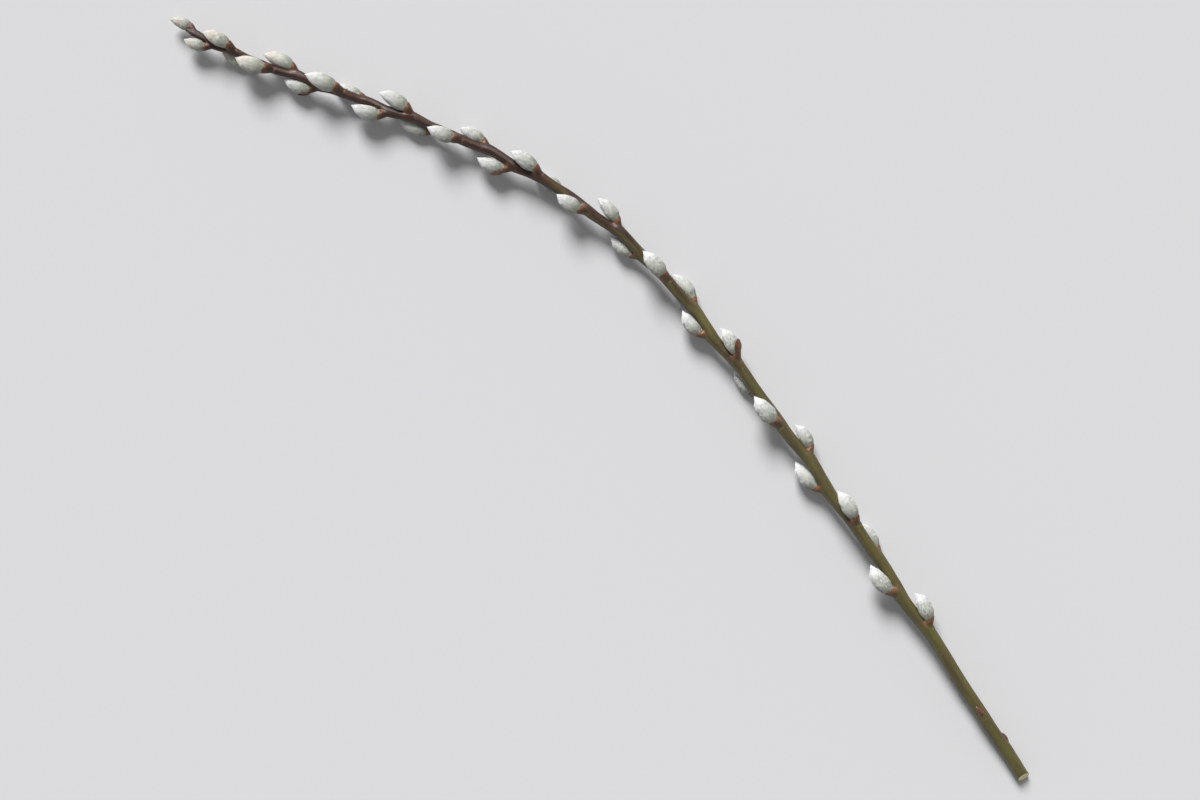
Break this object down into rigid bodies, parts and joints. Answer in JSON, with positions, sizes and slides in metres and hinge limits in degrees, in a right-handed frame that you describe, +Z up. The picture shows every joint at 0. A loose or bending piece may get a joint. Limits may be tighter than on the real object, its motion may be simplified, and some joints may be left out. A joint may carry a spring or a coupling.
{
  "type": "willow branch",
  "caption": "Cut pussy willow branch lying down: a gently bowed brown rod with silver furry catkins seated on shoulders in a spiral.",
  "frame": {"origin": "on the surface that the branch lies on, under the middle of its bounding box", "axes": "+X along the branch towards its tip, +Z up from the surface, +Y to the left of the branch"},
  "size_m": [0.79, 0.1254, 0.0257],
  "materials": {
    "bark": "smooth young bark with a slight gloss, dark reddish brown at the tip to olive brown at the cut",
    "catkin_fur": "dense silky silver-white hairs lying along the catkin, grey-green beneath",
    "bud_cap": "smooth glossy red-brown bud cap",
    "bud_scale": "thin dry brown scale, glossy outside"
  },
  "bodies": {
    "root": {"rod": "bark", "catkin_01": "catkin_fur", "catkin_02": "catkin_fur", "catkin_03": "catkin_fur", "catkin_04": "catkin_fur", "catkin_05": "catkin_fur", "catkin_06": "catkin_fur", "catkin_07": "catkin_fur", "catkin_08": "catkin_fur", "catkin_09": "catkin_fur", "catkin_10": "catkin_fur", "catkin_11": "catkin_fur", "catkin_12": "catkin_fur", "catkin_13": "catkin_fur", "catkin_14": "catkin_fur", "catkin_15": "catkin_fur", "catkin_16": "catkin_fur", "catkin_17": "catkin_fur", "catkin_18": "catkin_fur", "catkin_19": "catkin_fur", "catkin_20": "catkin_fur", "catkin_21": "catkin_fur", "catkin_22": "catkin_fur", "catkin_23": "catkin_fur", "catkin_24": "catkin_fur", "catkin_25": "catkin_fur", "catkin_26": "catkin_fur", "catkin_27": "catkin_fur", "catkin_28": "catkin_fur", "catkin_29": "catkin_fur", "catkin_30": "catkin_fur", "catkin_31": "catkin_fur", "catkin_32": "catkin_fur", "bud_1": "bud_cap", "bud_2": "bud_cap", "bud_3": "bud_cap", "bud_scale_1": "bud_scale", "bud_scale_2": "bud_scale", "bud_scale_3": "bud_scale"}
  },
  "joints": []
}
